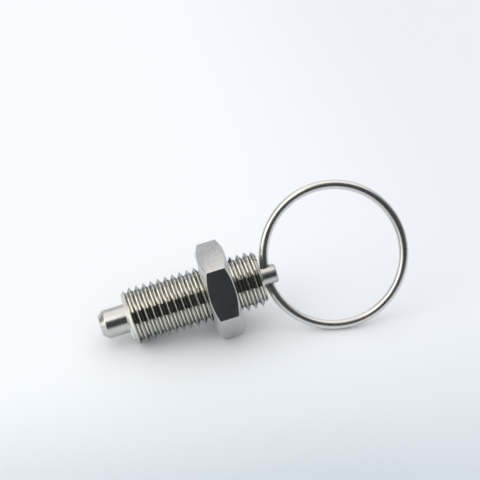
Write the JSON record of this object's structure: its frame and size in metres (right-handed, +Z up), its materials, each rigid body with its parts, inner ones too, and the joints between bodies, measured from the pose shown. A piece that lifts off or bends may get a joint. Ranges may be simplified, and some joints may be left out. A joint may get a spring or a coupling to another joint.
{
  "type": "index plunger",
  "caption": "Spring-loaded index plunger: threaded steel sleeve, chamfered locating pin, hexagon lock nut and pull ring.",
  "frame": {"origin": "on the surface that the plunger lies on, below its middle: halfway along X between the tip of the nose and the far side of the pull ring", "axes": "+X runs from the nose towards the pull ring, level; +Z is up; the plunger's own axis rises by about 10.7 degrees from +X towards +Z and has Y = 0"},
  "size_m": [0.0657, 0.0208, 0.0279],
  "materials": {
    "stainless_steel": "turned and polished",
    "stainless_wire": "drawn and polished",
    "spring_steel": "drawn"
  },
  "bodies": {
    "sleeve": {"sleeve": "stainless_steel"},
    "lock_nut": {"lock_nut": "stainless_steel"},
    "spring": {"spring": "spring_steel"},
    "plunger_pin": {"plunger_pin": "stainless_steel"},
    "pull_ring": {"pull_ring": "stainless_wire"}
  },
  "joints": [
    {"name": "lock_nut_turn", "type": "hinge", "parent": "sleeve", "child": "lock_nut", "pos_m": [-0.00712, 0, 0.00935], "axis": [0.9827, 0, 0.1849], "continuous": true},
    {"name": "plunger_turn", "type": "hinge", "parent": "sleeve", "child": "spring", "pos_m": [-0.00122, 0, 0.01046], "axis": [0.9827, 0, 0.1849], "continuous": true},
    {"name": "plunger_pull", "type": "slide", "parent": "spring", "child": "plunger_pin", "axis": [0.9827, 0, 0.1849], "range_m": [0, 0.006], "stiffness_N_per_m": 1300, "springref_m": -0.0038, "deforming": ["spring"]},
    {"name": "ring_swing", "type": "hinge", "parent": "plunger_pin", "child": "pull_ring", "pos_m": [0.00277, 0, 0.01121], "axis": [-0.1618, 0.484, 0.86], "range_deg": [-89, 89]}
  ]
}
